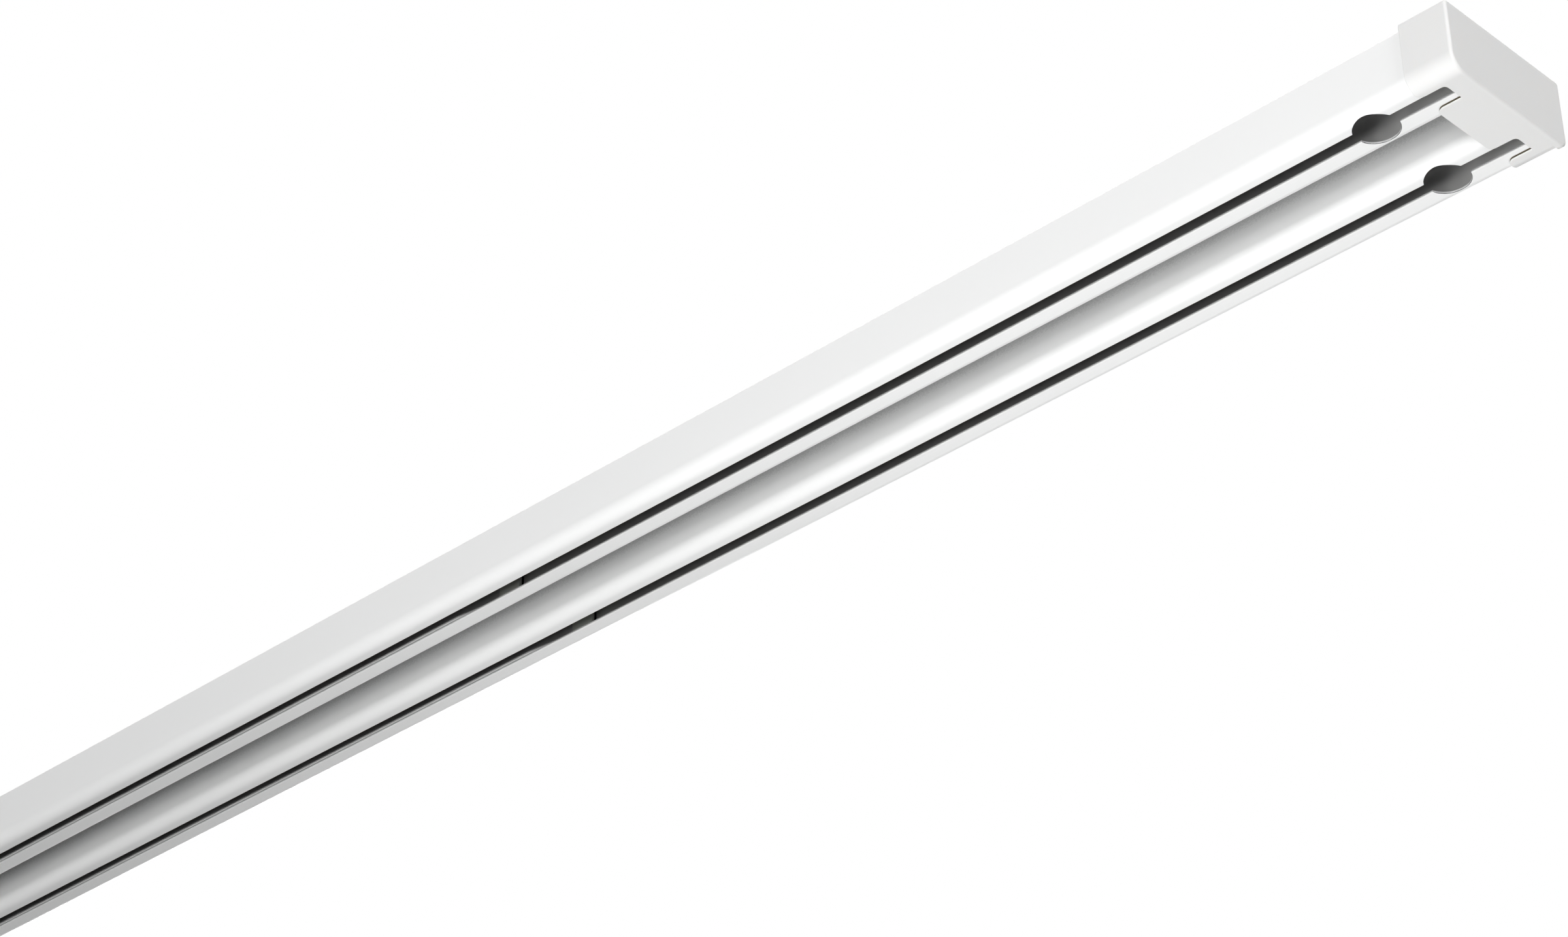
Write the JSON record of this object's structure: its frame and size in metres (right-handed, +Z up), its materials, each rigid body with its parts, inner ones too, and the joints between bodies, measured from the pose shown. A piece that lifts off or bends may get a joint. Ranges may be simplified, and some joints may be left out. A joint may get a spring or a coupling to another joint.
{
  "type": "extendable two-channel ceiling curtain track",
  "caption": "White ceiling curtain track with two slotted channels side by side, nested inner rails that pull out to lengthen it, and moulded end caps.",
  "frame": {"origin": "middle of the outer track's top face, which lies against the ceiling brackets", "axes": "+X along the track towards the end with the entry holes, +Y from the front channel to the back channel, +Z up to the ceiling"},
  "size_m": [1.2043, 0.052, 0.022],
  "materials": {
    "track_paint": "satin white powder coat",
    "inner_paint": "satin white powder coat",
    "cap_plastic": "fine matt moulded white",
    "sleeve_plastic": "matt moulded off-white"
  },
  "bodies": {
    "track": {"outer_track": "track_paint", "end_cap_fixed": "cap_plastic"},
    "extension": {"inner_rail_front": "inner_paint", "inner_rail_back": "inner_paint", "end_sleeve_front": "sleeve_plastic", "end_sleeve_back": "sleeve_plastic", "end_cap_moving": "cap_plastic"}
  },
  "joints": [
    {"name": "extension_slide", "type": "slide", "parent": "track", "child": "extension", "axis": [-1, 0, 0], "range_m": [0, 0.7]}
  ]
}
